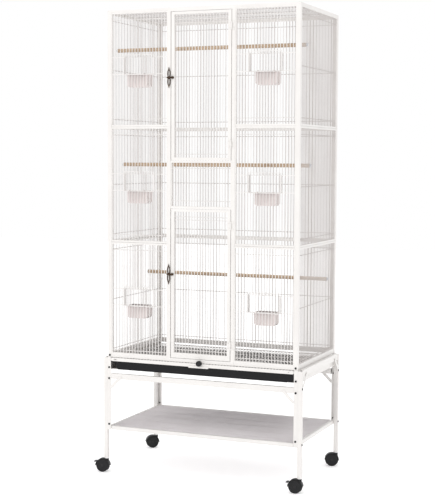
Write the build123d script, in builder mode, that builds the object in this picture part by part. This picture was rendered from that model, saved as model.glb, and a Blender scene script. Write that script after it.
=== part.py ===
"""Three-tier flight cage for small birds on a rolling stand, in millimetres.

X runs to the right along the front, Y runs from the front (-Y) to the back, and Z is up.
The origin is on the floor, midway between the four stand legs.
"""

import os
from math import cos, radians, sin

from build123d import *

# Driving dimensions of the cage
cage_width = 795.0
cage_depth = 470.0
cage_bottom = 466.0
cage_top = 1829.0
tier_joints = (925.0, 1377.0)
seam = 0.8
post_size = 15.0
tube_wall = 1.2

# Wire panels
wire_radius = 1.3
wire_pitch = 12.7
wire_inset = 3.5
cross_wire_drop = 2.65
cross_wire_end = 30.0
rail_height = 7.0
foot_rail_height = 19.5
rail_depth = 12.0
rail_inset = 1.0
panel_stile = 4.0
roof_height = 8.0
roof_wire_drop = 3.0
wire_bite = 2.0

# Front columns and doors
divider_width = 13.0
divider_x = 133.0
door_width = 248.0
door_stile = 13.0
door_rail = 10.0
lower_door_foot = 20.0
door_depth = 10.0
door_inset = 0.5
upper_door_z = (1248.5, 1813.0)
lower_door_z = (481.5, 1060.5)
centre_grille_z = (1062.0, 1247.0)
grille_rail = 9.0
sill_height = 14.0
header_height = 6.5

# Hinges
hinge_x = 125.25
hinge_forward = 3.6
hinge_pin_radius = 2.0
hinge_clearance = 0.06
knuckle_radius = 3.2
knuckle_height = 18.0
hinge_lug_height = 6.0
hinge_end_distance = 60.0
hinge_end_gap = 0.4
leaf_thickness = 2.5
lug_width = 12.0
lug_thickness = 2.0

# Latches
latch_z = (1564.0, 807.0)
latch_pivot_x = -117.5
latch_plate_thickness = 3.0
latch_plate_height = 80.0
latch_ring_height = 32.0
latch_ring_width = 13.0
latch_band = 3.2
latch_tip_width = 3.0
latch_knob_radius = 5.0
latch_pin_radius = 2.5
lever_boss_radius = 5.0
lever_length = 30.0
lever_width = 7.0
lever_thickness = 3.0
running_gap = 0.3

# Feeder gates and cups
feeder_below_tier_top = 249.5
feeder_opening_width = 122.0
feeder_opening_height = 65.0
strip_height = 2.4
strip_depth = 2.4
guide_web = 1.4
guide_lip = 1.0
gate_width = 128.0
gate_height = 78.0
gate_flat = 2.2
gate_gap = 0.4
gate_tab = (22.0, 6.0)
gate_wires = 10
gate_forward = 1.5
gate_drop = 2.0
cup_width = 84.0
cup_height = 50.0
cup_depth = 50.0
cup_wall = 2.0
cup_chamfer = 7.0
cup_gap = 6.8
cup_rim_rise = 1.0
cup_shift = {"left": -12.7, "right": 0.0}
hook_width = 6.0
hook_thickness = 1.2
hook_drop = 8.0

# Perches, as (distance behind the front face, height)
perch_radius = 7.5
perch_length = 785.0
perch_places = ((82.6, 1680.0), (133.4, 1230.0), (362.0, 778.0))
washer_radius = 8.0
washer_thickness = 1.5
screw_head_radius = 4.0
screw_head_height = 4.5
screw_radius = 2.2
screw_depth = 12.0

# Grate and tray
slide_half_width = 384.0
grate_z = 453.8
grate_flat = 4.0
grate_front_y = -235.5
tray_half_width = 355.0
tray_corner = 10.0
tray_face_thickness = 2.5
tray_z = 418.3
tray_height = 27.0
tray_wall = 1.5
tray_front_z = (420.5, 450.5)
tray_front_notch = (17.0, 3.0)
tray_ledge_x = 345.0
grate_ledge_x = 379.0
ledge_thickness = 2.0
ledge_gap = 0.3
grate_bar_z = (451.2, 464.5)
grate_bar_corner = 5.0
grate_bar_thickness = 4.0
grate_tab_width = 18.0
grate_hole_inset = 20.0
grate_hole_radius = 2.2
grate_lip = (84.0, 7.0)
grate_lip_rise = 3.0
knob_z = 466.5
knob_radius = 11.0
knob_length = 13.0
knob_fillet = 2.5
knob_flutes = 12
knob_flute_radius = 1.6

# Stand
stand_width = 831.0
stand_depth = 476.0
leg_size = 16.0
leg_bottom = 57.0
leg_top = 461.0
angle_width = 15.0
angle_thickness = 2.0
cross_rail_z = (379.0, 401.0)
side_rail_z = (440.0, 466.0)
shelf_top = 188.5
shelf_height = 14.5
shelf_rim = 12.0
shelf_bars = 5
shelf_bar_width = 7.0
shelf_wire_radius = 0.9
rail_tube = 12.0
brace_length = 66.0
brace_width = 12.0
brace_thickness = 1.5
brace_centre = (22.5, 13.5)

# Bolts, as steps of (start above the seat, length, radius)
bolt_steps = ((-8.0, 8.0, 2.3), (0.0, 1.8, 4.0), (1.8, 0.7, 2.8))
angle_bolt_z = 425.0
leg_bolt_z = 396.0

# Casters
wheel_radius = 25.0
wheel_width = 7.5
wheel_gap = 10.0
caster_offset = 16.0
axle_radius = 3.0
tread_width = 6.0
tread_fillet = 1.5
hub_radius = 5.0
hub_dish_depth = 2.0
stem_radius = 3.5
knob_stem_radius = 2.5
stem_length = 20.0
stem_flange = 2.0
stem_plug_height = 22.0
boss_top = 54.4
boss_bottom = 42.0
boss_radius = 8.5
hood_gap = 1.6
hood_thickness = 2.4
hood_low = 25.0
web_low = 8.0
brake_pivot = (43.5, 41.0)
brake_pin_radius = 2.0
brake_arm = (8.0, 2.6)
fit_clearance = 0.06

front_y = -cage_depth / 2
feeder_x = (divider_x + divider_width / 2 + cage_width / 2 - post_size) / 2
tiers = (
    (cage_bottom, tier_joints[0] - seam / 2),
    (tier_joints[0] + seam / 2, tier_joints[1] - seam / 2),
    (tier_joints[1] + seam / 2, cage_top - roof_height),
)
tier_names = ("lower", "middle", "upper")
feeder_sill_z = [top - feeder_below_tier_top for top in (*tier_joints, cage_top)]
leg_x = stand_width / 2 - leg_size / 2
leg_y = stand_depth / 2 - leg_size / 2
corners = ((-1, -1), (1, -1), (-1, 1), (1, 1))


def save(part, name):
    """Label one finished piece and write it to its own file."""
    part.label = name
    export_step(part, f"parts/{name}.step")


def upright(x, y, z, facing=0):
    """Plane lying flat at a height, its own +Y turned from the cage's +Y by an angle."""
    turn = radians(facing)
    return Plane(origin=(x, y, z), x_dir=(cos(turn), sin(turn), 0), z_dir=(0, 0, 1))


def crosswise(plane, start):
    """Plane across a flat one, for lengths that run along its +X from a start point."""
    return Plane(
        origin=plane.from_local_coords((start, 0, 0)),
        x_dir=plane.y_dir,
        z_dir=plane.x_dir,
    )


def wire_frame(plane, width, height, stile, rails, depth, inset, cross_heights):
    """Welded frame with upright wires, and with level wires behind them.

    rails are the heights of the lower and the upper rail.
    """
    foot, head = rails
    count = int((width - 2 * stile) // wire_pitch)
    first = -(count - 1) / 2 * wire_pitch
    middle = inset + depth / 2
    with BuildPart() as frame:
        for start, rail in ((0, foot), (height - head, head)):
            with BuildSketch(plane.offset(start)):
                with Locations((0, middle)):
                    Rectangle(width, depth)
            extrude(amount=rail)
        with BuildSketch(plane):
            with Locations((0, middle)):
                with GridLocations(width - stile, 1, 2, 1):
                    Rectangle(stile, depth)
        extrude(amount=height)
        with BuildSketch(plane.offset(foot - wire_bite)):
            with Locations(*[(first + i * wire_pitch, wire_inset) for i in range(count)]):
                Circle(wire_radius)
        extrude(amount=height - foot - head + 2 * wire_bite)
        with BuildSketch(crosswise(plane, stile - wire_bite - width / 2)):
            with Locations(*[(wire_inset + cross_wire_drop, z) for z in cross_heights]):
                Circle(wire_radius)
        extrude(amount=width - 2 * stile + 2 * wire_bite)
    return frame.part


def panel_rails(tier):
    """Heights of a tier panel's lower and upper rail: the lowest panel has a tall one."""
    foot = foot_rail_height if tier == tier_names[0] else rail_height
    return foot, rail_height


def make_corner_posts():
    with BuildPart() as corner_posts:
        with BuildSketch(Plane.XY.offset(cage_bottom)):
            with GridLocations(cage_width - post_size, cage_depth - post_size, 2, 2):
                Rectangle(post_size, post_size)
                inner = post_size - 2 * tube_wall
                Rectangle(inner, inner, mode=Mode.SUBTRACT)
        extrude(amount=cage_top - roof_height - cage_bottom)
    save(corner_posts.part, "corner_posts")


def make_front_dividers():
    with BuildPart() as front_dividers:
        with BuildSketch(Plane.XY.offset(cage_bottom)):
            with Locations((0, front_y + post_size / 2)):
                with GridLocations(2 * divider_x, 1, 2, 1):
                    Rectangle(divider_width, post_size)
                    Rectangle(
                        divider_width - 2 * tube_wall,
                        post_size - 2 * tube_wall,
                        mode=Mode.SUBTRACT,
                    )
        extrude(amount=cage_top - roof_height - cage_bottom)
    save(front_dividers.part, "front_dividers")


def make_door_rails():
    """Sill under the lower door and header over the upper one."""
    length = 2 * divider_x - divider_width
    with BuildPart() as door_rails:
        with BuildSketch(Plane.XY.offset(cage_bottom)):
            with Locations((0, front_y + post_size / 2)):
                Rectangle(length, post_size)
        extrude(amount=sill_height)
        with BuildSketch(Plane.XY.offset(cage_top - roof_height - header_height)):
            with Locations((0, front_y + post_size / 2)):
                Rectangle(length, post_size)
        extrude(amount=header_height)
    save(door_rails.part, "door_rails")


def feeder_surround(plane, width, sill):
    """Level strips above and below a feeder opening, with a guide at each side."""
    rise = feeder_opening_height
    web_x = gate_width / 2 + gate_gap
    back = wire_inset + strip_depth / 2
    front = -gate_forward - gate_flat / 2 - gate_gap - guide_lip
    with BuildPart() as surround:
        for height in (sill, sill + rise):
            with BuildSketch(plane.offset(height)):
                with Locations((0, wire_inset)):
                    Rectangle(width - panel_stile, strip_depth)
            extrude(amount=strip_height)
        with BuildSketch(plane.offset(sill)):
            with Locations((0, wire_inset)):
                with GridLocations(feeder_opening_width + strip_depth, 1, 2, 1):
                    Rectangle(strip_depth, strip_depth)
            for side in (-1, 1):
                with Locations((side * (web_x + guide_web / 2), (back + front) / 2)):
                    Rectangle(guide_web, back - front)
                with Locations((side * web_x, front + guide_lip / 2)):
                    Rectangle(2 * guide_web, guide_lip)
        extrude(amount=rise + strip_height)
    return surround.part


def make_front_panels():
    """Side columns of the front, one panel per tier, each with a feeder opening."""
    inner = divider_x + divider_width / 2
    outer = cage_width / 2 - post_size
    width = outer - inner
    for side, side_name in ((-1, "left"), (1, "right")):
        for (low, high), tier, sill in zip(tiers, tier_names, feeder_sill_z):
            plane = upright(side * (inner + outer) / 2, front_y, low)
            height = high - low
            grille = wire_frame(
                plane, width, height, panel_stile, panel_rails(tier), rail_depth,
                rail_inset, (cross_wire_end, height - cross_wire_end),
            )
            surround = feeder_surround(plane, width, sill - low)
            with BuildPart() as front_panel:
                add(grille)
                with BuildSketch(plane.offset(sill - low + strip_height)):
                    Rectangle(feeder_opening_width, 2 * rail_depth)
                extrude(
                    amount=feeder_opening_height - strip_height, mode=Mode.SUBTRACT
                )
                add(surround)
            save(front_panel.part, f"front_panel_{side_name}_{tier}")


def make_centre_grille():
    low, high = centre_grille_z
    centre_grille = wire_frame(
        upright(0, front_y, low), 2 * divider_x - divider_width, high - low,
        panel_stile, (grille_rail, grille_rail), rail_depth, rail_inset,
        (cross_wire_end, high - low - cross_wire_end),
    )
    save(centre_grille, "centre_grille")


def make_wall(name, x, y, facing, width):
    """One wall of the cage as a stack of welded panels, one per tier."""
    panels = [
        wire_frame(
            upright(x, y, low, facing), width, high - low, panel_stile,
            panel_rails(tier), rail_depth, rail_inset,
            (cross_wire_end, (high - low) / 2, high - low - cross_wire_end),
        )
        for (low, high), tier in zip(tiers, tier_names)
    ]
    with BuildPart() as wall:
        add(panels)
    save(wall.part, name)


def make_roof_panel():
    with BuildPart() as roof_panel:
        with BuildSketch(Plane.XY.offset(cage_top - roof_height)):
            Rectangle(cage_width, cage_depth)
            Rectangle(
                cage_width - 2 * post_size, cage_depth - 2 * post_size,
                mode=Mode.SUBTRACT,
            )
        extrude(amount=roof_height)
        run = cage_depth - 2 * post_size + 2 * wire_bite
        count = int((cage_width - 2 * post_size) // wire_pitch)
        with BuildSketch(Plane.XZ.offset(run / 2)):
            with Locations((0, cage_top - roof_wire_drop)):
                with GridLocations(wire_pitch, 1, count, 1):
                    Circle(wire_radius)
        extrude(amount=-run)
        length = cage_width - 2 * post_size + 2 * wire_bite
        with BuildSketch(Plane.YZ.offset(-length / 2)):
            with Locations((0, cage_top - roof_wire_drop - cross_wire_drop)):
                with GridLocations(cage_depth / 4, 1, 3, 1):
                    Circle(wire_radius)
        extrude(amount=length)
    save(roof_panel.part, "roof_panel")


def make_door(name, heights, foot, lever_z):
    """Framed wire door with two hinge knuckles on its right and a latch hole on its left."""
    low, high = heights
    plane = upright(0, front_y, low)
    height = high - low
    axis_y = front_y - hinge_forward
    grille = wire_frame(
        plane, door_width, height, door_stile, (foot, door_rail), door_depth,
        door_inset, (foot + wire_pitch, height - 42, height - cross_wire_end),
    )
    with BuildPart() as door:
        add(grille)
        for z in (low + hinge_end_distance, high - hinge_end_distance):
            with BuildSketch(Plane.XY.offset(z - knuckle_height / 2)):
                with Locations((hinge_x, axis_y)):
                    Circle(knuckle_radius)
                leaf = hinge_x - (door_width / 2 - door_stile)
                with Locations((hinge_x - leaf / 2, front_y + door_inset - leaf_thickness / 2)):
                    Rectangle(leaf, leaf_thickness)
                with Locations((hinge_x, axis_y)):
                    Circle(hinge_pin_radius + hinge_clearance, mode=Mode.SUBTRACT)
            extrude(amount=knuckle_height)
        with BuildSketch(Plane.XZ.offset(-front_y + 1)):
            with Locations((latch_pivot_x, lever_z)):
                Circle(latch_pin_radius + fit_clearance)
        extrude(amount=-(door_depth + 3), mode=Mode.SUBTRACT)
    save(door.part, name)


def make_hinge_pins():
    """Pins on the right divider, each held by a lug above and below the door's knuckle."""
    axis_y = front_y - hinge_forward
    reach = hinge_lug_height + hinge_end_gap
    with BuildPart() as door_hinge_pins:
        for low, high in (upper_door_z, lower_door_z):
            for z in (low + hinge_end_distance, high - hinge_end_distance):
                bottom = z - knuckle_height / 2 - reach
                with BuildSketch(Plane.XY.offset(bottom)):
                    with Locations((hinge_x, axis_y)):
                        Circle(hinge_pin_radius)
                extrude(amount=knuckle_height + 2 * reach)
                for lug_z in (bottom, z + knuckle_height / 2 + hinge_end_gap):
                    with BuildSketch(Plane.XY.offset(lug_z)):
                        with Locations((hinge_x, axis_y)):
                            Circle(knuckle_radius)
                        with Locations((hinge_x + lug_width / 2, front_y - lug_thickness / 2)):
                            Rectangle(lug_width, lug_thickness)
                    extrude(amount=hinge_lug_height)
    save(door_hinge_pins.part, "door_hinge_pins")


def make_latch_plates():
    """Keeper plates on the left divider: a knob between two long rings with pointed ends."""
    ring_z = latch_ring_height / 2 - 1
    ring_end = ring_z + latch_ring_height / 2
    tip_z = latch_plate_height / 2
    with BuildPart() as latch_plates:
        for centre in latch_z:
            with BuildSketch(Plane.XZ.offset(-front_y)):
                for side in (-1, 1):
                    with Locations((-divider_x, centre + side * ring_z)):
                        Ellipse(latch_ring_width / 2, latch_ring_height / 2)
                    with BuildLine():
                        Polyline(
                            (-divider_x - latch_tip_width, centre + side * (ring_end - 2)),
                            (-divider_x, centre + side * tip_z),
                            (-divider_x + latch_tip_width, centre + side * (ring_end - 2)),
                            close=True,
                        )
                    make_face()
                for side in (-1, 1):
                    with Locations((-divider_x, centre + side * ring_z)):
                        Ellipse(
                            latch_ring_width / 2 - latch_band,
                            latch_ring_height / 2 - latch_band,
                            mode=Mode.SUBTRACT,
                        )
                with Locations((-divider_x, centre)):
                    Circle(latch_knob_radius)
            extrude(amount=latch_plate_thickness)
    save(latch_plates.part, "latch_plates")


def make_latch_lever(name, z):
    """Turning lever on a door's left stile, whose arm lies across the keeper plate."""
    stile_front = -front_y - door_inset
    back = stile_front + running_gap
    arm_back = -front_y + latch_plate_thickness + 2 * running_gap
    with BuildPart() as latch_lever:
        with BuildSketch(Plane.XZ.offset(back)):
            with Locations((latch_pivot_x, z)):
                Circle(lever_boss_radius)
        extrude(amount=arm_back + lever_thickness - back)
        with BuildSketch(Plane.XZ.offset(arm_back)):
            with Locations((latch_pivot_x + lever_width - lever_length / 2, z)):
                SlotOverall(lever_length, lever_width)
        extrude(amount=lever_thickness)
        with BuildSketch(Plane.XZ.offset(stile_front - door_depth - 1)):
            with Locations((latch_pivot_x, z)):
                Circle(latch_pin_radius)
        extrude(amount=back - stile_front + door_depth + 1)
    save(latch_lever.part, name)


def make_feeder_gates():
    """Small wire gates that slide up in front of the feeder openings."""
    for side, side_name in ((-1, "left"), (1, "right")):
        for tier, sill in zip(tier_names, feeder_sill_z):
            plane = upright(side * feeder_x, front_y, sill - gate_drop)
            with BuildPart() as feeder_gate:
                with BuildSketch(plane):
                    with Locations((0, -gate_forward)):
                        with GridLocations(gate_width - gate_flat, 1, 2, 1):
                            Rectangle(gate_flat, gate_flat)
                        with GridLocations(wire_pitch, 1, gate_wires, 1):
                            Circle(wire_radius)
                extrude(amount=gate_height)
                for z in (0, gate_height - gate_flat):
                    with BuildSketch(plane.offset(z)):
                        with Locations((0, -gate_forward)):
                            Rectangle(gate_width, gate_flat)
                    extrude(amount=gate_flat)
                with BuildSketch(plane.offset(gate_height - gate_flat)):
                    with Locations((0, -gate_forward - gate_tab[1] / 2)):
                        Rectangle(*gate_tab)
                extrude(amount=gate_flat)
            save(feeder_gate.part, f"feeder_gate_{side_name}_{tier}")


def cup_shape(x, rim, wall, depth_start):
    """Outline of a cup, or of its hollow when a wall is taken off, swept to the back."""
    width = cup_width - 2 * wall
    height = cup_height - wall
    with BuildPart() as shape:
        with BuildSketch(Plane.XZ.offset(depth_start - wall)) as outline:
            with Locations((x, rim - height / 2)):
                Rectangle(width, height)
            chamfer(outline.vertices().group_by(Axis.Y)[0], cup_chamfer - wall / 2)
        extrude(amount=-(cup_depth - 2 * wall))
    return shape.part


def make_feeder_cups():
    """Open feed cups with chamfered lower corners, hung by two hooks on the sill strip."""
    front = -front_y - cup_gap
    strip_back = front_y + wire_inset + strip_depth / 2
    for side, side_name in ((-1, "left"), (1, "right")):
        for tier, sill in zip(tier_names, feeder_sill_z):
            x = side * feeder_x + cup_shift[side_name]
            rim = sill + cup_rim_rise
            hook_top = sill + strip_height + gate_gap + hook_thickness
            hook_front = front_y + wire_inset - strip_depth / 2 - gate_gap
            outer_wall = cup_shape(x, rim, 0, front)
            hollow = cup_shape(x, rim, cup_wall, front)
            with BuildPart() as feeder_cup:
                add(outer_wall)
                add(hollow, mode=Mode.SUBTRACT)
                for hook_x in (x - 2.5 * wire_pitch, x + 2.5 * wire_pitch):
                    with BuildSketch(Plane.YZ.offset(hook_x - hook_width / 2)):
                        with BuildLine():
                            Polyline(
                                (hook_front - hook_thickness, hook_top - hook_drop),
                                (hook_front - hook_thickness, hook_top),
                                (front_y + cup_gap + cup_wall, hook_top),
                                (front_y + cup_gap + cup_wall, rim - hook_drop),
                                (strip_back + gate_gap, rim - hook_drop),
                                (strip_back + gate_gap, hook_top - hook_thickness),
                                (hook_front, hook_top - hook_thickness),
                                (hook_front, hook_top - hook_drop),
                                close=True,
                            )
                        make_face()
                    extrude(amount=hook_width)
            save(feeder_cup.part, f"feeder_cup_{side_name}_{tier}")


def make_perches():
    with BuildPart() as perches:
        with BuildSketch(Plane.YZ.offset(-perch_length / 2)):
            with Locations(*[(front_y + back, z) for back, z in perch_places]):
                Circle(perch_radius)
        extrude(amount=perch_length)
    save(perches.part, "perches")


def make_perch_screws():
    """Screws with washers that clamp the perch ends to the side walls' wires."""
    seat = cage_width / 2 - wire_inset + wire_radius
    tip = perch_length / 2 - screw_depth
    with BuildPart() as perch_screws:
        for side in (-1, 1):
            for start, length, radius in (
                (seat, washer_thickness, washer_radius),
                (seat, screw_head_height, screw_head_radius),
                (tip, seat - tip, screw_radius),
            ):
                with BuildSketch(Plane.YZ.offset(side * start)):
                    with Locations(*[(front_y + back, z) for back, z in perch_places]):
                        Circle(radius)
                extrude(amount=side * length)
    save(perch_screws.part, "perch_screws")


def make_grate():
    """Sliding floor grille that lets waste fall to the tray."""
    width = 2 * slide_half_width - 2
    back_y = -grate_front_y - 4
    depth = back_y - grate_front_y
    middle = (back_y + grate_front_y) / 2
    count = int((width - 2 * grate_flat) // wire_pitch)
    wire_z = grate_z + grate_flat / 2
    with BuildPart() as grate:
        with BuildSketch(Plane.XY.offset(grate_z)):
            with Locations((0, middle)):
                Rectangle(width, depth)
                Rectangle(
                    width - 2 * grate_flat, depth - 2 * grate_flat, mode=Mode.SUBTRACT
                )
        extrude(amount=grate_flat)
        with BuildSketch(Plane.XZ.offset(-grate_front_y - wire_bite)):
            with Locations((0, wire_z)):
                with GridLocations(wire_pitch, 1, count, 1):
                    Circle(wire_radius)
        extrude(amount=-(depth - 2 * wire_bite))
        length = width - 2 * wire_bite
        with BuildSketch(Plane.YZ.offset(-length / 2)):
            with Locations((middle, wire_z + cross_wire_drop)):
                with GridLocations(depth / 6, 1, 5, 1):
                    Circle(wire_radius)
        extrude(amount=length)
    save(grate.part, "grate")


def make_grate_front_bar():
    """Bar across the grate's front, with a lip to pull and a tab for the knob."""
    low, high = grate_bar_z
    middle = (low + high) / 2
    hole_x = slide_half_width - grate_hole_inset
    with BuildPart() as grate_front_bar:
        with BuildSketch(Plane.XZ.offset(-grate_front_y)):
            with Locations((0, middle)):
                RectangleRounded(2 * slide_half_width - 1, high - low, grate_bar_corner)
            with Locations((0, knob_z)):
                Rectangle(grate_tab_width, 2 * (knob_z - middle))
            with Locations((hole_x, middle)):
                Circle(grate_hole_radius, mode=Mode.SUBTRACT)
            with Locations((-hole_x, middle)):
                SlotOverall(6 * grate_hole_radius, 2 * grate_hole_radius, mode=Mode.SUBTRACT)
            with Locations((0, knob_z)):
                Circle(knob_stem_radius + fit_clearance, mode=Mode.SUBTRACT)
        extrude(amount=grate_bar_thickness)
        with BuildSketch(Plane.XZ.offset(grate_bar_thickness - grate_front_y - 0.6)):
            with Locations((-4, low)):
                RectangleRounded(*grate_lip, grate_lip[1] / 2 - 0.5)
        extrude(amount=grate_lip_rise)
    save(grate_front_bar.part, "grate_front_bar")


def make_grate_knob():
    """Knurled turn knob with a stem through the bar's tab."""
    face = -grate_front_y + grate_bar_thickness + 0.4
    with BuildPart() as grate_knob:
        with BuildSketch(Plane.XZ.offset(face)):
            with Locations((0, knob_z)):
                Circle(knob_radius)
        extrude(amount=knob_length)
        fillet(grate_knob.faces().sort_by(Axis.Y)[0].edges(), knob_fillet)
        with BuildSketch(Plane.XZ.offset(face)):
            with Locations((0, knob_z)):
                with PolarLocations(knob_radius + 0.6, knob_flutes):
                    Circle(knob_flute_radius)
        extrude(amount=knob_length, mode=Mode.SUBTRACT)
        with BuildSketch(Plane.XZ.offset(-grate_front_y)):
            with Locations((0, knob_z)):
                Circle(knob_stem_radius)
        extrude(amount=face + grate_front_y)
    save(grate_knob.part, "grate_knob")


def make_tray():
    """Open pan that catches what falls through the grate."""
    front = -front_y + 1
    depth = leg_y - leg_size / 2 - 1 + front
    with BuildPart() as tray:
        with BuildSketch(Plane.XZ.offset(front)):
            with Locations((0, tray_z + tray_height / 2)):
                Rectangle(2 * tray_half_width, tray_height)
        extrude(amount=-depth)
        with BuildSketch(Plane.XZ.offset(front - tray_wall)):
            with Locations((0, tray_z + tray_height / 2 + tray_wall)):
                Rectangle(2 * (tray_half_width - tray_wall), tray_height)
        extrude(amount=-(depth - 2 * tray_wall), mode=Mode.SUBTRACT)
    save(tray.part, "tray")


def make_tray_flanges():
    """Flange along each side of the tray, level with its rim."""
    front = -front_y + 1
    depth = leg_y - leg_size / 2 - 1 + front
    width = slide_half_width - tray_half_width
    with BuildPart() as tray_flanges:
        with BuildSketch(Plane.XZ.offset(front)):
            with Locations((0, tray_z + tray_height - tray_wall / 2)):
                with GridLocations(slide_half_width + tray_half_width, 1, 2, 1):
                    Rectangle(width, tray_wall)
        extrude(amount=-depth)
    save(tray_flanges.part, "tray_flanges")


def make_tray_front():
    """Wide face of the tray, slanted at its left end and cut off at its right corner."""
    low, high = tray_front_z
    notch_width, notch_height = tray_front_notch
    left = -slide_half_width
    with BuildPart() as tray_front:
        with BuildSketch(Plane.XZ.offset(-front_y + 1)):
            with BuildLine():
                Polyline(
                    (left, high),
                    (left, high - notch_height),
                    (left + notch_width, high - notch_height),
                    (-tray_half_width, low),
                    (slide_half_width - tray_corner, low),
                    (slide_half_width, low + tray_corner),
                    (slide_half_width, high),
                    close=True,
                )
            make_face()
        extrude(amount=tray_face_thickness)
    save(tray_front.part, "tray_front")


def make_stand_legs():
    with BuildPart() as stand_legs:
        with BuildSketch(Plane.XY.offset(leg_bottom)):
            with GridLocations(2 * leg_x, 2 * leg_y, 2, 2):
                Rectangle(leg_size, leg_size)
                inner = leg_size - 2 * tube_wall
                Rectangle(inner, inner, mode=Mode.SUBTRACT)
        extrude(amount=leg_top - leg_bottom)
        with BuildSketch(Plane.XY.offset(leg_top)):
            with GridLocations(2 * leg_x, 2 * leg_y, 2, 2):
                Rectangle(leg_size, leg_size)
        extrude(amount=2)
    save(stand_legs.part, "stand_legs")


def make_upright_angles():
    """Angle strips beside the legs, from the shelf up to the cage's posts."""
    bottom = shelf_top - shelf_height
    wide = angle_width
    thin = angle_thickness
    inner_x = leg_x - leg_size / 2
    outer_y = stand_depth / 2
    with BuildPart() as upright_angles:
        with BuildSketch(Plane.XY.offset(bottom)):
            for x, y in corners:
                with Locations((x * (inner_x - wide / 2), y * (outer_y - thin / 2))):
                    Rectangle(wide, thin)
                with Locations((x * (inner_x - thin / 2), y * (outer_y - wide / 2))):
                    Rectangle(thin, wide)
        extrude(amount=cage_bottom - bottom)
    save(upright_angles.part, "upright_angles")


def make_cross_rail(name, side):
    """Front or rear rail of the stand, between the upright angles."""
    low, high = cross_rail_z
    length = 2 * (leg_x - leg_size / 2 - angle_width)
    with BuildPart() as cross_rail:
        with BuildSketch(Plane.YZ.offset(-length / 2)):
            with Locations((side * (stand_depth - rail_tube) / 2, (low + high) / 2)):
                Rectangle(rail_tube, high - low)
                Rectangle(
                    rail_tube - 2 * tube_wall, high - low - 2 * tube_wall,
                    mode=Mode.SUBTRACT,
                )
        extrude(amount=length)
    save(cross_rail.part, name)


def make_side_rail(name, side):
    """Side rail of the stand, with ledges that carry the tray and the grate."""
    low, high = side_rail_z
    length = 2 * (leg_y - leg_size / 2)
    web_x = leg_x - leg_size / 2 + 1
    ledge_end = web_x + 1
    shelves = (
        (tray_ledge_x, tray_z - ledge_gap - ledge_thickness),
        (grate_ledge_x, grate_z - ledge_gap - ledge_thickness),
    )
    with BuildPart() as side_rail:
        with BuildSketch(Plane.XZ.offset(length / 2)):
            with Locations((side * leg_x, (low + high) / 2)):
                Rectangle(rail_tube, high - low)
                Rectangle(
                    rail_tube - 2 * tube_wall, high - low - 2 * tube_wall,
                    mode=Mode.SUBTRACT,
                )
            with Locations((side * web_x, (shelves[0][1] + high) / 2)):
                Rectangle(2, high - shelves[0][1])
            for ledge_x, z in shelves:
                with Locations((side * (ledge_end + ledge_x) / 2, z + ledge_thickness / 2)):
                    Rectangle(ledge_end - ledge_x, ledge_thickness)
        extrude(amount=-length)
    save(side_rail.part, name)


def brace(corner, inward):
    """Strip at forty-five degrees from an upright to the rail over it.

    corner is the inner corner under the rail, and inward the way along the rail.
    """
    plane = Plane(origin=corner, x_dir=inward, z_dir=inward.cross(Vector(0, 0, 1)))
    reach, drop = brace_centre
    with BuildPart() as strip:
        with BuildSketch(plane):
            with Locations(Location((reach, -drop), 45)):
                SlotOverall(brace_length, brace_width)
        extrude(amount=brace_thickness / 2, both=True)
    return strip.part


def make_corner_braces():
    """Braces between the stand's uprights and its rails, two at every corner."""
    inner_x = leg_x - leg_size / 2 - angle_width
    inner_y = leg_y - leg_size / 2
    front = stand_depth / 2 + brace_thickness / 2
    flank = stand_width / 2 + brace_thickness / 2
    strips = []
    for x, y in corners:
        cross_corner = Vector(x * inner_x, y * front, cross_rail_z[0])
        side_corner = Vector(x * flank, y * inner_y, side_rail_z[0])
        strips.append(brace(cross_corner, Vector(-x, 0, 0)))
        strips.append(brace(side_corner, Vector(0, -y, 0)))
    with BuildPart() as corner_braces:
        add(strips)
    save(corner_braces.part, "corner_braces")


def make_shelf():
    """Welded shelf: rim, flat bars along it and close wires across them."""
    half_width = leg_x - leg_size / 2 - angle_thickness
    half_depth = leg_y + leg_size / 2 - angle_thickness - 0.5
    inner_half_width = half_width - shelf_rim
    inner_half_depth = half_depth - shelf_rim
    bottom = shelf_top - shelf_height
    with BuildPart() as shelf:
        with BuildSketch(Plane.XY.offset(bottom)):
            Rectangle(2 * half_width, 2 * half_depth)
            Rectangle(2 * inner_half_width, 2 * inner_half_depth, mode=Mode.SUBTRACT)
            with GridLocations(2 * half_width, 2 * half_depth, 2, 2):
                Rectangle(2 * angle_width, 2 * angle_width, mode=Mode.SUBTRACT)
        extrude(amount=shelf_height)
        with BuildSketch(Plane.XY.offset(shelf_top - 4)):
            with GridLocations(1, inner_half_depth / 2.5, 1, shelf_bars):
                Rectangle(2 * (inner_half_width + wire_bite), shelf_bar_width)
        extrude(amount=3)
        count = int(2 * (inner_half_width - wire_bite) // wire_pitch)
        run = 2 * (inner_half_depth + wire_bite)
        with BuildSketch(Plane.XZ.offset(run / 2)):
            with Locations((0, shelf_top - 4.5)):
                with GridLocations(wire_pitch, 1, count, 1):
                    Circle(shelf_wire_radius)
        extrude(amount=-run)
    save(shelf.part, "shelf")


def bolt(plane):
    """Button-head bolt standing on a plane, its shank below it."""
    with BuildPart() as button_bolt:
        for start, length, radius in bolt_steps:
            with BuildSketch(plane.offset(start)):
                Circle(radius)
            extrude(amount=length)
    return button_bolt.part


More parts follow.
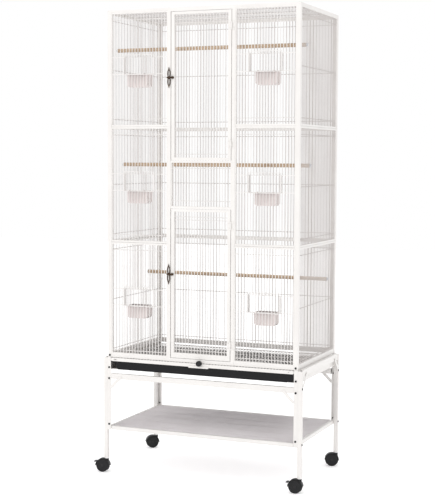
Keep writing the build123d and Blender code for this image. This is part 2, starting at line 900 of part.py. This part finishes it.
def make_frame_bolts():
    """Bolts through the posts, uprights and legs, on the front, back and sides."""
    angle_x = leg_x - leg_size / 2 - angle_width / 2
    post_x = cage_width / 2 - post_size / 2
    flank_x = leg_x + leg_size / 2
    places = []
    for x, y in corners:
        for bolt_x, bolt_y, z in (
            (post_x, cage_depth / 2, cage_bottom + 8),
            (angle_x, stand_depth / 2, angle_bolt_z),
            (angle_x, stand_depth / 2, cross_rail_z[0] + 2),
            (angle_x, stand_depth / 2, shelf_top + 8),
        ):
            places.append(
                Plane(
                    origin=(x * bolt_x, y * bolt_y, z),
                    x_dir=(-y, 0, 0),
                    z_dir=(0, y, 0),
                )
            )
        for z in (leg_bolt_z, shelf_top - 4):
            places.append(
                Plane(
                    origin=(x * flank_x, y * leg_y, z),
                    x_dir=(0, x, 0),
                    z_dir=(x, 0, 0),
                )
            )
    bolts = [bolt(place) for place in places]
    with BuildPart() as frame_bolts:
        add(bolts)
    save(frame_bolts.part, "frame_bolts")


def make_caster_stems():
    """Plugs in the legs' lower ends, each with a swivel stem below it."""
    with BuildPart() as caster_stems:
        for x, y in corners:
            foot = Plane.XY.offset(leg_bottom)
            with BuildSketch(foot):
                with Locations((x * leg_x, y * leg_y)):
                    Rectangle(leg_size - 2 * tube_wall, leg_size - 2 * tube_wall)
            extrude(amount=stem_plug_height)
            with BuildSketch(foot.offset(-stem_flange)):
                with Locations((x * leg_x, y * leg_y)):
                    Circle(boss_radius)
            extrude(amount=stem_flange)
            with BuildSketch(foot.offset(-stem_length)):
                with Locations((x * leg_x, y * leg_y)):
                    Circle(stem_radius)
            extrude(amount=stem_length)
    save(caster_stems.part, "caster_stems")


def caster_planes(x, y, heading):
    """Side plane through a caster's middle, and a flat plane on its swivel axis."""
    turn = radians(heading)
    along = (cos(turn), sin(turn), 0)
    across = (sin(turn), -cos(turn), 0)
    side = Plane(origin=(x, y, 0), x_dir=along, z_dir=across)
    flat = Plane(origin=(x, y, 0), x_dir=along, z_dir=(0, 0, 1))
    return side, flat


def make_caster_housing(name, x, y, heading):
    """Swivel housing: bored boss over the stem, web between the wheels and a hood."""
    side, flat = caster_planes(x, y, heading)
    web = wheel_gap - 1
    hood_width = wheel_gap + 2 * wheel_width + 1
    hub = (caster_offset, wheel_radius)
    wide = 4 * wheel_radius
    with BuildPart() as housing:
        with BuildSketch(side.offset(-hood_width / 2)):
            with Locations(hub):
                Circle(wheel_radius + hood_gap + hood_thickness)
                Circle(wheel_radius + hood_gap, mode=Mode.SUBTRACT)
            with Locations((hub[0], hood_low - wheel_radius)):
                Rectangle(wide, 2 * wheel_radius, mode=Mode.SUBTRACT)
        extrude(amount=hood_width)
        with BuildSketch(side.offset(-web / 2)):
            with Locations(hub):
                Circle(wheel_radius + hood_gap + 0.4)
            with Locations((hub[0], web_low - wheel_radius)):
                Rectangle(wide, 2 * wheel_radius, mode=Mode.SUBTRACT)
        extrude(amount=web)
        with BuildSketch(flat.offset(boss_bottom)):
            Circle(boss_radius)
        extrude(amount=boss_top - boss_bottom)
        with BuildSketch(side.offset(-hood_width)):
            with Locations(hub):
                Circle(axle_radius + fit_clearance)
        extrude(amount=2 * hood_width, mode=Mode.SUBTRACT)
        for flank in (-1, 1):
            with BuildSketch(side.offset(flank * web / 2)):
                with Locations(hub):
                    Circle(wheel_radius + hood_gap - 0.2)
            extrude(amount=flank * hood_width / 2, mode=Mode.SUBTRACT)
        with BuildSketch(flat.offset(leg_bottom - stem_length - 0.5)):
            Circle(stem_radius + fit_clearance)
        extrude(amount=stem_length, mode=Mode.SUBTRACT)
    save(housing.part, name)


def make_caster_wheels(name, x, y, heading):
    """Twin wheels on one axle, with dished hubs and rounded treads."""
    side, _ = caster_planes(x, y, heading)
    centre = side.from_local_coords((caster_offset, wheel_radius, 0))
    axle = Plane(origin=centre, x_dir=(0, 0, 1), z_dir=side.z_dir)
    inner = wheel_gap / 2
    outer = inner + wheel_width
    with BuildPart() as wheels:
        with BuildSketch(axle.offset(-outer)):
            Circle(axle_radius)
        extrude(amount=2 * outer)
        for flank in (-1, 1):
            with BuildSketch(axle.offset(flank * inner)):
                Circle(wheel_radius)
                Circle(axle_radius + fit_clearance, mode=Mode.SUBTRACT)
            extrude(amount=flank * wheel_width)
            with BuildSketch(axle.offset(flank * (outer - hub_dish_depth))):
                Circle(wheel_radius - tread_width)
                Circle(hub_radius, mode=Mode.SUBTRACT)
            extrude(amount=flank * hub_dish_depth, mode=Mode.SUBTRACT)
        rims = wheels.edges().filter_by(GeomType.CIRCLE).group_by(SortBy.RADIUS)[-1]
        fillet(rims, tread_fillet)
    save(wheels.part, name)


def make_brake_lever(name, x, y, heading):
    """Foot lever behind the hood, pivoted on a pin across it."""
    side, _ = caster_planes(x, y, heading)
    pivot_x, pivot_z = brake_pivot
    width = wheel_gap + 2 * wheel_width - 2
    with BuildPart() as brake_lever:
        with BuildSketch(side.offset(-width / 2)):
            with Locations(brake_pivot):
                Circle(brake_pin_radius)
            with Locations((pivot_x + brake_arm[0] / 2, pivot_z)):
                Rectangle(*brake_arm)
        extrude(amount=width)
    save(brake_lever.part, name)


def main():
    os.makedirs("parts", exist_ok=True)
    make_corner_posts()
    make_front_dividers()
    make_door_rails()
    make_front_panels()
    make_centre_grille()
    inner_depth = cage_depth - 2 * post_size
    make_wall("left_wall", -cage_width / 2, 0, -90, inner_depth)
    make_wall("right_wall", cage_width / 2, 0, 90, inner_depth)
    make_wall("back_wall", 0, cage_depth / 2, 180, cage_width - 2 * post_size)
    make_roof_panel()
    make_door("upper_door", upper_door_z, door_rail, latch_z[0])
    make_door("lower_door", lower_door_z, lower_door_foot, latch_z[1])
    make_hinge_pins()
    make_latch_plates()
    make_latch_lever("upper_latch_lever", latch_z[0])
    make_latch_lever("lower_latch_lever", latch_z[1])
    make_feeder_gates()
    make_feeder_cups()
    make_perches()
    make_perch_screws()
    make_grate()
    make_grate_front_bar()
    make_grate_knob()
    make_tray()
    make_tray_flanges()
    make_tray_front()
    make_stand_legs()
    make_upright_angles()
    make_cross_rail("front_rail", -1)
    make_cross_rail("rear_rail", 1)
    make_side_rail("left_rail", -1)
    make_side_rail("right_rail", 1)
    make_corner_braces()
    make_shelf()
    make_frame_bolts()
    make_caster_stems()
    headings = (190, 186, 215, 200)
    names = ("front_left", "front_right", "rear_left", "rear_right")
    for (x, y), heading, name in zip(corners, headings, names):
        make_caster_housing(f"caster_housing_{name}", x * leg_x, y * leg_y, heading)
        make_caster_wheels(f"caster_wheels_{name}", x * leg_x, y * leg_y, heading)
    for (x, y), heading, name in list(zip(corners, headings, names))[:2]:
        make_brake_lever(f"brake_lever_{name}", x * leg_x, y * leg_y, heading)


main()
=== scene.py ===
"""Looks of the three-tier flight cage on its rolling stand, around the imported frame.

All sizes are in metres.
"""

import math

import bmesh
import bpy
from mathutils import Matrix, Vector


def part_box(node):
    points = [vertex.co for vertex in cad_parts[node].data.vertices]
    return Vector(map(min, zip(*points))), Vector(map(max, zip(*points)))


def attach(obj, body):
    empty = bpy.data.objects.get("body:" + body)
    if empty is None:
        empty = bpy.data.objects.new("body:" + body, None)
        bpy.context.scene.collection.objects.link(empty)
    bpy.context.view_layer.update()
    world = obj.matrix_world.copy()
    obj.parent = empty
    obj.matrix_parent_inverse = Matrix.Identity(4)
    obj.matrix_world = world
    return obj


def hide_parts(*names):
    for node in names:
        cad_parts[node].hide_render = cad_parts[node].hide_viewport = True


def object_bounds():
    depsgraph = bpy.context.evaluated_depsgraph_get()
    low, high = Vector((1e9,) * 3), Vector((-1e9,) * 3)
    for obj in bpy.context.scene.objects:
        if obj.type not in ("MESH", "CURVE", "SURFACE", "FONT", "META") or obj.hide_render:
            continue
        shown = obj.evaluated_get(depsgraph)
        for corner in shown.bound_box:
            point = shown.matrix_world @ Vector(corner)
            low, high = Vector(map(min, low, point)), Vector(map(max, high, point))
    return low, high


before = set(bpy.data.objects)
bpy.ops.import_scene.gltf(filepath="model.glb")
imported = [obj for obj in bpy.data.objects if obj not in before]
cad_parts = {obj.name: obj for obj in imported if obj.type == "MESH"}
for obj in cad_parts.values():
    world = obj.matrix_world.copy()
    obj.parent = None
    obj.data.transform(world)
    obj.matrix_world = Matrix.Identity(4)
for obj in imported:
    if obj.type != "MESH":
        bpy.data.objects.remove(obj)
cad_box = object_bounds()

MM = 0.001
CAGE = "cage"
SIDES = ("left", "right")
TIERS = ("lower", "middle", "upper")
WHEELED = ("front_left", "front_right", "rear_left", "rear_right")

# Camera, matched to the photograph's angle: metres, degrees, and millimetres for the lens
CAMERA_PLACE = (1.8747, -4.5736, 1.2546)
CAMERA_TURN = 22.57
CAMERA_DROP = 4.11
CAMERA_ROLL = 0.26
LENS = 89.9
SENSOR = 36.0

# Wires and margins of the welded panels
PANEL_STILE = 4 * MM
PANEL_RAIL = 7 * MM
PANEL_FOOT = 19.5 * MM
DOOR_STILE = 13 * MM
DOOR_RAIL = 10 * MM
DOOR_FOOT = 20 * MM
GRILLE_RAIL = 9 * MM
ROOF_RIM = 15 * MM
SHELF_RIM = 12 * MM
MARGIN = 0.2 * MM

# Close mesh of the shelf
MESH_PITCH = 4.2 * MM
MESH_WIRE = 0.6 * MM
MESH_DROP = 0.9 * MM
ROD_SIDES = 6

# Rounding of the edges that catch the light
WELD = 0.02 * MM
FLAT_ANGLE = math.radians(1)
SHARP_ANGLE = math.radians(35)
ROUND_STEPS = 2
PLATE_ROUND = 0.7 * MM
LEVER_ROUND = 0.6 * MM
LEG_ROUND = 1.2 * MM
RAIL_ROUND = 1.0 * MM
THIN_ROUND = 0.3 * MM
HOOD_ROUND = 0.5 * MM

# Shading
MID_NOISE = (0.3, 0.7)
SHADE_FACTOR = 0.86
SCUFFED = (0.02, 0.02, 0.021)

# Studio: the lights look at AIM, and the floor glows a little so that it comes out white
AIM = (0, 0, 1.0)
FLOOR_SIZE = 12
FLOOR_DROP = 0.2 * MM
FLOOR_GLOW = 0.3
FLOOR_DRIFT = 0.8
KEY = {"place": (-1.6, -4.2, 3.6), "size": 3.6, "power": 40, "colour": (1, 0.99, 0.975)}
FILL = {"place": (3.4, -2.4, 2.2), "size": 2.6, "power": 4, "colour": (0.98, 0.99, 1)}


# Node helpers


class Shade:
    """Small helper that builds one node material."""

    def __init__(self, name):
        self.material = bpy.data.materials.new(name)
        self.material.use_nodes = True
        self.tree = self.material.node_tree
        self.shader = self.tree.nodes["Principled BSDF"]

    def node(self, kind, **values):
        made = self.tree.nodes.new(kind)
        for key, value in values.items():
            if hasattr(made, key):
                setattr(made, key, value)
            else:
                made.inputs[key].default_value = value
        return made

    def link(self, source, output, target, entry):
        self.tree.links.new(source.outputs[output], target.inputs[entry])

    def set(self, **values):
        for key, value in values.items():
            self.shader.inputs[key.replace("_", " ")].default_value = value

    def place(self, scale=(1, 1, 1)):
        """Object coordinates, stretched by a scale along each axis."""
        where = self.node("ShaderNodeTexCoord")
        mapping = self.node("ShaderNodeMapping")
        mapping.inputs["Scale"].default_value = scale
        self.link(where, "Object", mapping, "Vector")
        return mapping

    def noise(self, place, size, detail=3.0, roughness=0.55):
        """Noise whose blobs are about size metres across."""
        made = self.node(
            "ShaderNodeTexNoise", Scale=1 / size, Detail=detail, Roughness=roughness
        )
        self.link(place, "Vector", made, "Vector")
        return made

    def ramp(self, source, output, low, high, first, last):
        """Value that runs from first to last while the source runs from low to high."""
        made = self.node("ShaderNodeMapRange")
        made.inputs["From Min"].default_value = low
        made.inputs["From Max"].default_value = high
        made.inputs["To Min"].default_value = first
        made.inputs["To Max"].default_value = last
        self.link(source, output, made, "Value")
        return made

    def mix(self, factor, output, first, last):
        """Colour between two, each an RGB or a (node, output) pair."""
        made = self.node("ShaderNodeMix", data_type="RGBA")
        for entry, colour in ((6, first), (7, last)):
            if isinstance(colour[0], bpy.types.Node):
                self.tree.links.new(colour[0].outputs[colour[1]], made.inputs[entry])
            else:
                made.inputs[entry].default_value = (*colour, 1)
        self.link(factor, output, made, "Factor")
        return made

    def colour(self, mixed):
        self.tree.links.new(mixed.outputs[2], self.shader.inputs["Base Color"])

    def bump(self, source, output, height, strength):
        """Relief whose full height is given in metres."""
        made = self.node("ShaderNodeBump", Strength=strength, Distance=height)
        self.link(source, output, made, "Height")
        self.link(made, "Normal", self.shader, "Normal")


def edge_mask(shade, low=0.52, high=0.6):
    """One along convex edges, nought elsewhere."""
    shape = shade.node("ShaderNodeNewGeometry")
    return shade.ramp(shape, "Pointiness", low, high, 0, 1)


def darker(colour):
    return tuple(SHADE_FACTOR * c for c in colour)


def powder_coat(name, base, shadow, grain=0.9 * MM):
    """Satin powder coat: faint orange peel, drifting tone and slightly worn roughness."""
    s = Shade(name)
    place = s.place()
    drift = s.noise(place, 90 * MM, 4)
    speck = s.noise(place, 2.2 * MM, 2)
    peel = s.noise(place, grain, 2)
    tone = s.ramp(drift, "Fac", 0.3, 0.72, 0, 1)
    main = s.mix(tone, "Result", shadow, base)
    dust = s.ramp(speck, "Fac", 0.62, 0.8, 0, 0.35)
    s.colour(s.mix(dust, "Result", (main, 2), darker(base)))
    rough = s.ramp(drift, "Fac", 0.25, 0.75, 0.34, 0.5)
    s.link(rough, "Result", s.shader, "Roughness")
    s.bump(peel, "Fac", 0.06 * MM, 0.5)
    s.set(Coat_Weight=0.12, Coat_Roughness=0.2)
    return s.material


def bronze():
    """Dark cast latch metal, rubbed paler along its edges."""
    s = Shade("latch_bronze")
    place = s.place()
    cast = s.noise(place, 3 * MM, 5)
    tone = s.ramp(cast, "Fac", *MID_NOISE, 0, 1)
    main = s.mix(tone, "Result", (0.020, 0.014, 0.011), (0.07, 0.045, 0.03))
    worn = edge_mask(s)
    s.colour(s.mix(worn, "Result", (main, 2), (0.16, 0.10, 0.06)))
    rough = s.ramp(cast, "Fac", *MID_NOISE, 0.32, 0.55)
    s.link(rough, "Result", s.shader, "Roughness")
    s.bump(cast, "Fac", 0.15 * MM, 0.6)
    s.set(Metallic=0.85)
    return s.material


def wood():
    """Bare dowel: long grain along the perch, darker streaks and fine pores."""
    s = Shade("perch_wood")
    along = s.place((0.03, 1, 1))
    fine = s.place((0.015, 1, 1))
    grain = s.noise(along, 5 * MM, 6, 0.65)
    pores = s.noise(fine, 0.9 * MM, 3)
    patch = s.noise(s.place(), 60 * MM, 3)
    bands = s.ramp(grain, "Fac", 0.32, 0.68, 0, 1)
    main = s.mix(bands, "Result", (0.30, 0.20, 0.13), (0.62, 0.48, 0.35))
    pore = s.ramp(pores, "Fac", 0.58, 0.75, 0, 0.6)
    streaked = s.mix(pore, "Result", (main, 2), (0.20, 0.12, 0.07))
    pale = s.ramp(patch, "Fac", 0.35, 0.7, 0, 0.35)
    s.colour(s.mix(pale, "Result", (streaked, 2), (0.68, 0.52, 0.37)))
    rough = s.ramp(grain, "Fac", *MID_NOISE, 0.55, 0.75)
    s.link(rough, "Result", s.shader, "Roughness")
    s.bump(pores, "Fac", 0.2 * MM, 0.6)
    return s.material


def plastic(name, base, low, high, grain, coat=0.0, worn=None, gloss=0.5):
    """Moulded plastic: spark-eroded grain, slight tone drift and scuffed edges."""
    s = Shade(name)
    place = s.place()
    drift = s.noise(place, 25 * MM, 3)
    fine = s.noise(place, grain, 2)
    tone = s.ramp(drift, "Fac", *MID_NOISE, 0, 1)
    main = s.mix(tone, "Result", darker(base), base)
    scuffed = edge_mask(s)
    scuff_colour = worn or tuple(min(1, 1.25 * c + 0.01) for c in base)
    s.colour(s.mix(scuffed, "Result", (main, 2), scuff_colour))
    rough = s.ramp(drift, "Fac", 0.25, 0.75, low, high)
    s.link(rough, "Result", s.shader, "Roughness")
    s.bump(fine, "Fac", 0.08 * MM, 0.5)
    s.set(Coat_Weight=coat, Coat_Roughness=0.15, Specular_IOR_Level=gloss)
    return s.material


def steel():
    """Drawn zinc-plated steel."""
    s = Shade("zinc_steel")
    place = s.place()
    drawn = s.noise(place, 1.5 * MM, 4)
    tone = s.ramp(drawn, "Fac", *MID_NOISE, 0, 1)
    s.colour(s.mix(tone, "Result", (0.56, 0.56, 0.58), (0.78, 0.78, 0.79)))
    rough = s.ramp(drawn, "Fac", *MID_NOISE, 0.25, 0.42)
    s.link(rough, "Result", s.shader, "Roughness")
    s.bump(drawn, "Fac", 0.05 * MM, 0.4)
    s.set(Metallic=1.0)
    return s.material


WHITE = powder_coat("white_powder_coat", (0.79, 0.77, 0.75), (0.745, 0.72, 0.70))
WIRE = powder_coat(
    "white_wire_coat", (0.78, 0.755, 0.74), (0.73, 0.705, 0.69), 0.5 * MM
)
# Walls and roof have the same white wires as the front, coloured darker here: painted
# shade for the shade they lie in behind the front
WALL_WIRE_PAINTED_SHADE = powder_coat(
    "wall_wire_painted_shade_coat", (0.60, 0.565, 0.55), (0.55, 0.515, 0.50), 0.5 * MM
)
SHELF_WIRE = powder_coat(
    "shelf_wire_coat", (0.80, 0.765, 0.775), (0.74, 0.70, 0.71), 0.5 * MM
)
BRONZE = bronze()
WOOD = wood()
CUP = plastic("cup_plastic", (0.54, 0.485, 0.475), 0.35, 0.5, 0.8 * MM, coat=0.1)
TRAY = plastic(
    "tray_black", (0.006, 0.006, 0.0065), 0.6, 0.75, 1.0 * MM, worn=SCUFFED, gloss=0.05
)
KNOB = plastic(
    "knob_black", (0.010, 0.010, 0.011), 0.3, 0.45, 0.7 * MM,
    coat=0.1, worn=SCUFFED, gloss=0.25,
)
BOLT = plastic(
    "bolt_black", (0.010, 0.010, 0.011), 0.35, 0.5, 0.4 * MM, worn=SCUFFED, gloss=0.25
)
CASTER = plastic(
    "caster_black", (0.010, 0.010, 0.011), 0.4, 0.55, 0.8 * MM, worn=SCUFFED, gloss=0.3
)
WHEEL = plastic(
    "wheel_black", (0.014, 0.014, 0.015), 0.5, 0.7, 0.6 * MM, worn=SCUFFED, gloss=0.3
)
STEEL = steel()


def set_materials(obj, *materials):
    obj.data.materials.clear()
    for material in materials:
        obj.data.materials.append(material)


def paint_wires(node, across, panels, stile, wire_coat=WIRE):
    """White coat on a node's frames, and the wires' coat inside them.

    across is the axis along the panel's width, and panels its wires' (lowest, highest).
    """
    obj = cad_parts[node]
    set_materials(obj, WHITE, wire_coat)
    low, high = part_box(node)
    left = low[across] + stile + MARGIN
    right = high[across] - stile - MARGIN
    for face in obj.data.polygons:
        spot = face.center
        framed = not left < spot[across] < right or not any(
            bottom + MARGIN < spot.z < top - MARGIN for bottom, top in panels
        )
        face.material_index = 0 if framed else 1


def paint_level(node, rim, wire_coat):
    """White coat on the rim of a panel that lies flat, and the wires' coat inside it."""
    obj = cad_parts[node]
    set_materials(obj, WHITE, wire_coat)
    low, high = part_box(node)
    for face in obj.data.polygons:
        inside = all(
            low[a] + rim + MARGIN < face.center[a] < high[a] - rim - MARGIN
            for a in (0, 1)
        )
        face.material_index = 1 if inside else 0


def wire_band(node, foot, head):
    """Lowest and highest point of the wires between a panel's rails."""
    low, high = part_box(node)
    return low.z + foot, high.z - head


def tier_band(tier, side="left"):
    """The wires' band in one tier. The lowest tier stands on a deeper rail."""
    foot = PANEL_FOOT if tier == TIERS[0] else PANEL_RAIL
    return wire_band(f"front_panel_{side}_{tier}", foot, PANEL_RAIL)


# Mesh helpers


def new_object(name, data):
    obj = bpy.data.objects.new(name, data)
    bpy.context.scene.collection.objects.link(obj)
    return obj


def from_bmesh(name, bm, *materials, smooth=True):
    mesh = bpy.data.meshes.new(name)
    bmesh.ops.recalc_face_normals(bm, faces=bm.faces)
    bm.to_mesh(mesh)
    bm.free()
    for face in mesh.polygons:
        face.use_smooth = smooth
    obj = new_object(name, mesh)
    for material in materials:
        mesh.materials.append(material)
    return obj


def apply_modifiers(obj):
    """Bake every modifier of an object into its mesh."""
    graph = bpy.context.evaluated_depsgraph_get()
    baked = bpy.data.meshes.new_from_object(obj.evaluated_get(graph))
    obj.modifiers.clear()
    obj.data = baked


def soften(node, name, body, radius, material):
    """Copy of a CAD node with its sharp edges rounded, standing for that node."""
    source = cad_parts[node].data
    bm = bmesh.new()
    bm.from_mesh(source)
    bmesh.ops.remove_doubles(bm, verts=bm.verts, dist=WELD)
    bmesh.ops.dissolve_limit(
        bm, angle_limit=FLAT_ANGLE, verts=bm.verts, edges=bm.edges
    )
    obj = from_bmesh(name, bm)
    set_materials(obj, material)
    bevel = obj.modifiers.new("round", "BEVEL")
    bevel.width = radius
    bevel.segments = ROUND_STEPS
    bevel.limit_method = "ANGLE"
    bevel.angle_limit = SHARP_ANGLE
    bevel.harden_normals = True
    apply_modifiers(obj)
    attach(obj, body)
    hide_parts(node)


def rod(bm, start, end, radius):
    """Round rod between two points."""
    start, end = Vector(start), Vector(end)
    run = end - start
    turn = run.to_track_quat("Z", "Y").to_matrix().to_4x4()
    place = Matrix.Translation((start + end) / 2) @ turn
    bmesh.ops.create_cone(
        bm, cap_ends=True, segments=ROD_SIDES, radius1=radius, radius2=radius,
        depth=run.length, matrix=place,
    )


# Cage


def paint_cage():
    """Coats of every piece of the cage that is made of wires or sheet."""
    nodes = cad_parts
    for side in SIDES:
        for tier in TIERS:
            band = tier_band(tier, side)
            paint_wires(f"front_panel_{side}_{tier}", 0, [band], PANEL_STILE)
            set_materials(nodes[f"feeder_gate_{side}_{tier}"], WIRE)
    bands = [tier_band(tier) for tier in TIERS]
    # The walls' wires get the darker coat of painted shade
    paint_wires("left_wall", 1, bands, PANEL_STILE, WALL_WIRE_PAINTED_SHADE)
    paint_wires("right_wall", 1, bands, PANEL_STILE, WALL_WIRE_PAINTED_SHADE)
    paint_wires("back_wall", 0, bands, PANEL_STILE, WALL_WIRE_PAINTED_SHADE)
    grille = wire_band("centre_grille", GRILLE_RAIL, GRILLE_RAIL)
    paint_wires("centre_grille", 0, [grille], PANEL_STILE)
    for door, foot in (("upper_door", DOOR_RAIL), ("lower_door", DOOR_FOOT)):
        paint_wires(door, 0, [wire_band(door, foot, DOOR_RAIL)], DOOR_STILE)
    # The roof's wires get the darker coat of painted shade
    paint_level("roof_panel", ROOF_RIM, WALL_WIRE_PAINTED_SHADE)
    paint_level("shelf", SHELF_RIM, SHELF_WIRE)
    for node in (
        "corner_posts", "front_dividers", "door_rails", "door_hinge_pins", "grate",
    ):
        set_materials(nodes[node], WHITE)


def soften_edges():
    """Rounded copies of the pieces whose edges catch the light."""
    for node, body, radius, material in (
        ("latch_plates", CAGE, PLATE_ROUND, BRONZE),
        ("upper_latch_lever", "upper_latch", LEVER_ROUND, BRONZE),
        ("lower_latch_lever", "lower_latch", LEVER_ROUND, BRONZE),
        ("stand_legs", CAGE, LEG_ROUND, WHITE),
        ("front_rail", CAGE, RAIL_ROUND, WHITE),
        ("rear_rail", CAGE, RAIL_ROUND, WHITE),
        ("corner_braces", CAGE, THIN_ROUND, WHITE),
        ("frame_bolts", CAGE, THIN_ROUND, BOLT),
    ):
        soften(node, f"{node}_soft", body, radius, material)
    for corner in WHEELED:
        housing, hood = f"caster_housing_{corner}", f"caster_hood_{corner}"
        soften(housing, hood, f"caster_{corner}", HOOD_ROUND, CASTER)


def build_shelf_mesh():
    """Close welded mesh over the shelf's bars, which CAD leaves out."""
    low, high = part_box("shelf")
    left, right = low.x + SHELF_RIM - MM, high.x - SHELF_RIM + MM
    front, back = low.y + SHELF_RIM - MM, high.y - SHELF_RIM + MM
    z = high.z - MESH_DROP
    bm = bmesh.new()
    for start, end, along_x in ((left, right, False), (front, back, True)):
        count = int((end - start) / MESH_PITCH)
        for i in range(1, count):
            at = start + (end - start) * i / count
            if along_x:
                rod(bm, (left, at, z), (right, at, z), MESH_WIRE)
            else:
                under = z - MESH_WIRE
                rod(bm, (at, front, under), (at, back, under), MESH_WIRE)
    mesh = from_bmesh("shelf_mesh", bm, SHELF_WIRE)
    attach(mesh, CAGE)


def paint_rest():
    """Coats of the other CAD nodes. Rounded copies then stand for some of them."""
    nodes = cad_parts
    plain = {
        WHITE: (
            "stand_legs", "upright_angles", "front_rail", "rear_rail", "left_rail",
            "right_rail", "corner_braces", "grate_front_bar",
        ),
        BRONZE: ("latch_plates", "upper_latch_lever", "lower_latch_lever"),
        WOOD: ("perches",),
        STEEL: ("perch_screws", "caster_stems"),
        BOLT: ("frame_bolts",),
        TRAY: ("tray", "tray_flanges", "tray_front"),
        KNOB: ("grate_knob",),
    }
    for material, names in plain.items():
        for name in names:
            set_materials(nodes[name], material)
    for side in SIDES:
        for tier in TIERS:
            set_materials(nodes[f"feeder_cup_{side}_{tier}"], CUP)
    for corner in WHEELED:
        set_materials(nodes[f"caster_housing_{corner}"], CASTER)
        set_materials(nodes[f"caster_wheels_{corner}"], WHEEL)
    for corner in WHEELED[:2]:
        set_materials(nodes[f"brake_lever_{corner}"], CASTER)


# Studio


def add_area(name, place, size, power, colour):
    """Square light that looks at AIM."""
    data = bpy.data.lights.new(name, "AREA")
    data.shape = "SQUARE"
    data.size = size
    data.energy = power
    data.color = colour
    obj = new_object(name, data)
    obj.location = place
    look = Vector(AIM) - Vector(place)
    obj.rotation_euler = look.to_track_quat("-Z", "Y").to_euler()


def add_studio():
    """White surroundings, a white floor under the wheels and two soft lights."""
    world = bpy.data.worlds.new("studio")
    world.use_nodes = True
    background = world.node_tree.nodes["Background"]
    background.inputs["Color"].default_value = (1, 1, 1, 1)
    background.inputs["Strength"].default_value = 1.0
    bpy.context.scene.world = world
    bpy.context.scene.view_settings.view_transform = "Standard"
    bm = bmesh.new()
    bmesh.ops.create_grid(bm, x_segments=2, y_segments=2, size=FLOOR_SIZE)
    floor = from_bmesh("studio_floor", bm, smooth=False)
    floor.location.z = cad_box[0][2] - FLOOR_DROP
    s = Shade("studio_floor")
    drift = s.noise(s.place(), FLOOR_DRIFT)
    tone = s.ramp(drift, "Fac", *MID_NOISE, 0, 1)
    s.colour(s.mix(tone, "Result", (0.95, 0.95, 0.95), (0.97, 0.97, 0.97)))
    s.set(Roughness=0.9, Specular_IOR_Level=0.0)
    s.set(Emission_Color=(1, 1, 1, 1), Emission_Strength=FLOOR_GLOW)
    set_materials(floor, s.material)
    add_area("key", **KEY)
    add_area("fill", **FILL)


def add_camera():
    """Camera at the photograph's angle, built from its turn, drop and roll."""
    turn, drop, roll = map(math.radians, (CAMERA_TURN, CAMERA_DROP, CAMERA_ROLL))
    level = Vector((math.cos(turn), math.sin(turn), 0))
    ahead = Vector((-math.sin(turn), math.cos(turn), 0))
    forward = math.cos(drop) * ahead - math.sin(drop) * Vector((0, 0, 1))
    rise = level.cross(forward)
    right = math.cos(roll) * level + math.sin(roll) * rise
    up = math.cos(roll) * rise - math.sin(roll) * level
    data = bpy.data.cameras.new("camera")
    data.lens = LENS
    data.sensor_width = SENSOR
    obj = new_object("camera", data)
    facing = Matrix((right, up, -forward)).transposed().to_4x4()
    obj.matrix_world = Matrix.Translation(CAMERA_PLACE) @ facing
    bpy.context.scene.camera = obj


paint_cage()
paint_rest()
soften_edges()
build_shelf_mesh()
add_studio()
add_camera()
